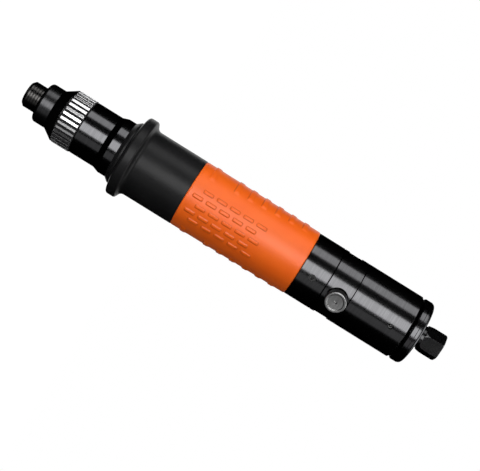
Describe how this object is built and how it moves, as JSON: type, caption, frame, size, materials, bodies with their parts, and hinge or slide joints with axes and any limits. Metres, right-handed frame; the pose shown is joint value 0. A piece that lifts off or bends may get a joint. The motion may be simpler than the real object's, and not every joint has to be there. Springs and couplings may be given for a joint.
{
  "type": "torque screwdriver",
  "caption": "Straight push-start air screwdriver with shut-off clutch, fluted torque ring, flanged rubber grip, reverse button and rear hexagon air inlet.",
  "frame": {"origin": "centre of the bit holder's front opening, on the tool's axis", "axes": "+Z along the tool's axis from the bit to the air inlet; -Y is the meridian of the grip's dash panel and the set screw"},
  "size_m": [0.0478, 0.0489, 0.2654],
  "materials": {
    "aluminium": "turned",
    "black_anodised": "black anodised, satin",
    "black_oxide": "black, satin, turned",
    "black_rubber": "moulded, matt",
    "black_steel": "blackened",
    "blackened_steel": "black oxide on turned steel, satin",
    "bright_chrome": "bright plated, fluted",
    "bronze": "sintered",
    "button_black": "anodised dark grey, turned face",
    "cast_iron": "ground",
    "ground_steel": "ground",
    "orange_rubber": "moulded, soft satin",
    "seal_rubber": "moulded",
    "silencer_felt": "pressed felt",
    "spring_steel": "drawn wire",
    "vane_fibre": "laminated phenolic"
  },
  "bodies": {
    "housing": {"spindle_bush": "bronze", "nose_cap": "black_oxide", "clutch_spring": "spring_steel", "thrust_bearing": "ground_steel", "clutch_housing": "black_oxide", "output_bearing": "ground_steel", "gear_case": "ground_steel", "motor_housing": "aluminium", "front_end_plate": "cast_iron", "front_rotor_bearing": "ground_steel", "cylinder_liner": "cast_iron", "rear_end_plate": "cast_iron", "rear_rotor_bearing": "ground_steel", "air_manifold": "aluminium", "front_grip": "black_rubber", "grip_sleeve": "orange_rubber", "rear_coupling": "black_anodised", "set_screw": "black_steel", "reverse_block": "black_anodised", "reverse_spring": "spring_steel", "reverse_stop_pin": "ground_steel", "rear_housing": "black_anodised", "throttle_seat": "bronze", "throttle_spring": "spring_steel", "silencer": "silencer_felt", "lock_pin": "black_steel", "end_cap": "black_anodised", "air_inlet": "black_steel", "inlet_screen": "ground_steel", "seals": "seal_rubber"},
    "adjusting_ring": {"adjusting_ring": "bright_chrome"},
    "adjusting_nut": {"adjusting_nut": "ground_steel"},
    "output_drive": {"clutch_driven_plate": "ground_steel", "clutch_balls": "ground_steel", "clutch_drive_plate": "ground_steel", "return_spring": "spring_steel", "stage2_carrier": "ground_steel", "stage2_pins": "ground_steel"},
    "spindle": {"spindle": "blackened_steel", "spindle_stop_ring": "ground_steel", "sleeve_snap_ring": "ground_steel", "sleeve_spring": "spring_steel"},
    "bit_sleeve": {"bit_sleeve": "blackened_steel"},
    "lock_ball_a": {"lock_ball_a": "ground_steel"},
    "lock_ball_b": {"lock_ball_b": "ground_steel"},
    "stage2_planet_a": {"stage2_planet_a": "ground_steel"},
    "stage2_planet_b": {"stage2_planet_b": "ground_steel"},
    "stage2_planet_c": {"stage2_planet_c": "ground_steel"},
    "stage1_drive": {"stage1_carrier": "ground_steel", "stage1_pins": "ground_steel"},
    "stage1_planet_a": {"stage1_planet_a": "ground_steel"},
    "stage1_planet_b": {"stage1_planet_b": "ground_steel"},
    "stage1_planet_c": {"stage1_planet_c": "ground_steel"},
    "rotor": {"rotor": "ground_steel", "vanes": "vane_fibre"},
    "push_rod": {"push_rod": "ground_steel"},
    "throttle_valve": {"throttle_valve": "seal_rubber"},
    "reverse_button": {"reverse_button": "button_black"}
  },
  "joints": [
    {"name": "rotor_spin", "type": "hinge", "parent": "housing", "child": "rotor", "pos_m": [0, 0, 0], "axis": [0, 0, 1], "continuous": true},
    {"name": "stage1_spin", "type": "hinge", "parent": "housing", "child": "stage1_drive", "pos_m": [0, 0, 0], "axis": [0, 0, 1], "continuous": true},
    {"name": "output_spin", "type": "hinge", "parent": "housing", "child": "output_drive", "pos_m": [0, 0, 0], "axis": [0, 0, 1], "continuous": true},
    {"name": "stage1_planet_a_spin", "type": "hinge", "parent": "stage1_drive", "child": "stage1_planet_a", "pos_m": [0.0081, 0, 0], "axis": [0, 0, 1], "continuous": true},
    {"name": "stage1_planet_b_spin", "type": "hinge", "parent": "stage1_drive", "child": "stage1_planet_b", "pos_m": [-0.00405, 0.00701, 0], "axis": [0, 0, 1], "continuous": true},
    {"name": "stage1_planet_c_spin", "type": "hinge", "parent": "stage1_drive", "child": "stage1_planet_c", "pos_m": [-0.00405, -0.00701, 0], "axis": [0, 0, 1], "continuous": true},
    {"name": "stage2_planet_a_spin", "type": "hinge", "parent": "output_drive", "child": "stage2_planet_a", "pos_m": [0.0081, 0, 0], "axis": [0, 0, 1], "continuous": true},
    {"name": "stage2_planet_b_spin", "type": "hinge", "parent": "output_drive", "child": "stage2_planet_b", "pos_m": [-0.00405, 0.00701, 0], "axis": [0, 0, 1], "continuous": true},
    {"name": "stage2_planet_c_spin", "type": "hinge", "parent": "output_drive", "child": "stage2_planet_c", "pos_m": [-0.00405, -0.00701, 0], "axis": [0, 0, 1], "continuous": true},
    {"name": "spindle_push", "type": "slide", "parent": "output_drive", "child": "spindle", "axis": [0, 0, 1], "range_m": [0, 0.003], "stiffness_N_per_m": 300, "springref_m": -0.01, "deforming": ["return_spring"]},
    {"name": "push_rod_slide", "type": "slide", "parent": "housing", "child": "push_rod", "axis": [0, 0, 1], "range_m": [0, 0.003]},
    {"name": "throttle_slide", "type": "slide", "parent": "housing", "child": "throttle_valve", "axis": [0, 0, 1], "range_m": [0, 0.003], "deforming": ["throttle_spring"]},
    {"name": "sleeve_pull", "type": "slide", "parent": "spindle", "child": "bit_sleeve", "axis": [0, 0, -1], "range_m": [0, 0.0025], "stiffness_N_per_m": 200, "springref_m": -0.005, "deforming": ["sleeve_spring"]},
    {"name": "lock_ball_a_slide", "type": "slide", "parent": "spindle", "child": "lock_ball_a", "axis": [1, 0, 0], "range_m": [0, 0.0006]},
    {"name": "lock_ball_b_slide", "type": "slide", "parent": "spindle", "child": "lock_ball_b", "axis": [-1, 0, 0], "range_m": [0, 0.0006]},
    {"name": "torque_ring_turn", "type": "hinge", "parent": "housing", "child": "adjusting_ring", "pos_m": [0, 0, 0], "axis": [0, 0, 1], "range_deg": [-360, 360]},
    {"name": "adjusting_nut_slide", "type": "slide", "parent": "housing", "child": "adjusting_nut", "axis": [0, 0, 1], "range_m": [-0.0015, 0.0015], "deforming": ["clutch_spring"]},
    {"name": "reverse_button_push", "type": "slide", "parent": "housing", "child": "reverse_button", "axis": [-0.153, 0.9882, 0], "range_m": [0, 0.0032], "stiffness_N_per_m": 200, "springref_m": -0.004, "deforming": ["reverse_spring"]}
  ],
  "couplings": [
    {"joint": "stage1_spin", "follows": "rotor_spin", "ratio": 0.22222},
    {"joint": "output_spin", "follows": "rotor_spin", "ratio": 0.049383},
    {"joint": "stage1_planet_a_spin", "follows": "rotor_spin", "ratio": -0.62222},
    {"joint": "stage2_planet_a_spin", "follows": "rotor_spin", "ratio": -0.13827},
    {"joint": "stage1_planet_b_spin", "follows": "rotor_spin", "ratio": -0.62222},
    {"joint": "stage2_planet_b_spin", "follows": "rotor_spin", "ratio": -0.13827},
    {"joint": "stage1_planet_c_spin", "follows": "rotor_spin", "ratio": -0.62222},
    {"joint": "stage2_planet_c_spin", "follows": "rotor_spin", "ratio": -0.13827},
    {"joint": "push_rod_slide", "follows": "spindle_push", "ratio": 1},
    {"joint": "throttle_slide", "follows": "spindle_push", "ratio": 1},
    {"joint": "lock_ball_a_slide", "follows": "sleeve_pull", "ratio": 0.24},
    {"joint": "lock_ball_b_slide", "follows": "sleeve_pull", "ratio": 0.24},
    {"joint": "torque_ring_turn", "follows": "adjusting_nut_slide", "rad_per_m": 4188.8}
  ]
}
